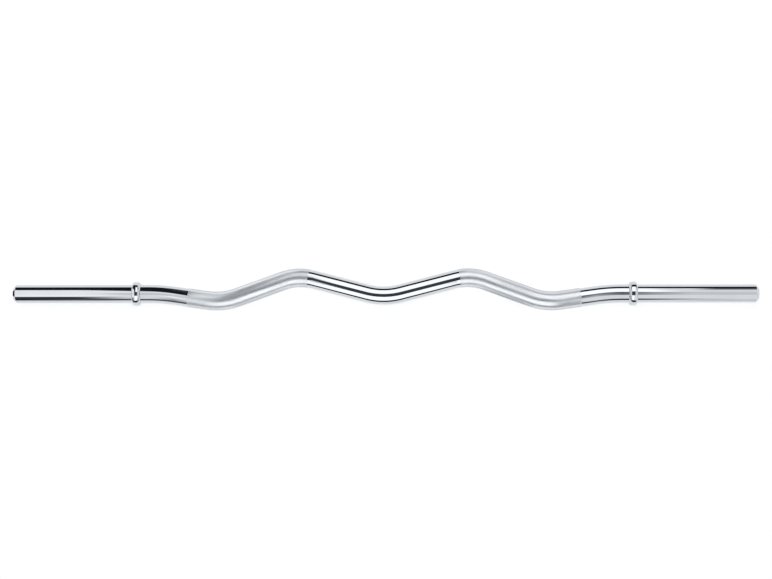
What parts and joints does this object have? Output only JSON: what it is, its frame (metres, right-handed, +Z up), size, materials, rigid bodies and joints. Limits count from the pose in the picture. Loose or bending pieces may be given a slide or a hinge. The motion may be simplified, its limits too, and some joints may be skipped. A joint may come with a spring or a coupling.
{
  "type": "ez curl bar",
  "caption": "Chromed EZ curl bar: a solid round bar with a wavy handle, knurled grips, welded stop rings and plain round sleeves for weight plates.",
  "frame": {"origin": "on the floor, under the middle of the bar's box, with the bar lying on its stop rings and on the peaks of its handle", "axes": "+X along the bar towards the right sleeve, +Y across it towards the peaks of the handle's wave, +Z up from the floor"},
  "size_m": [1.2, 0.0701, 0.0395],
  "materials": {
    "bar_chrome": "polished chrome plating on steel, rolled diamond knurl on the grips",
    "ring_chrome": "polished chrome plating on turned steel",
    "weld_chrome": "chrome plating over a dressed weld bead"
  },
  "bodies": {
    "root": {"bent_bar": "bar_chrome", "left_stop_ring": "ring_chrome", "left_ring_weld": "weld_chrome", "right_stop_ring": "ring_chrome", "right_ring_weld": "weld_chrome"}
  },
  "joints": []
}
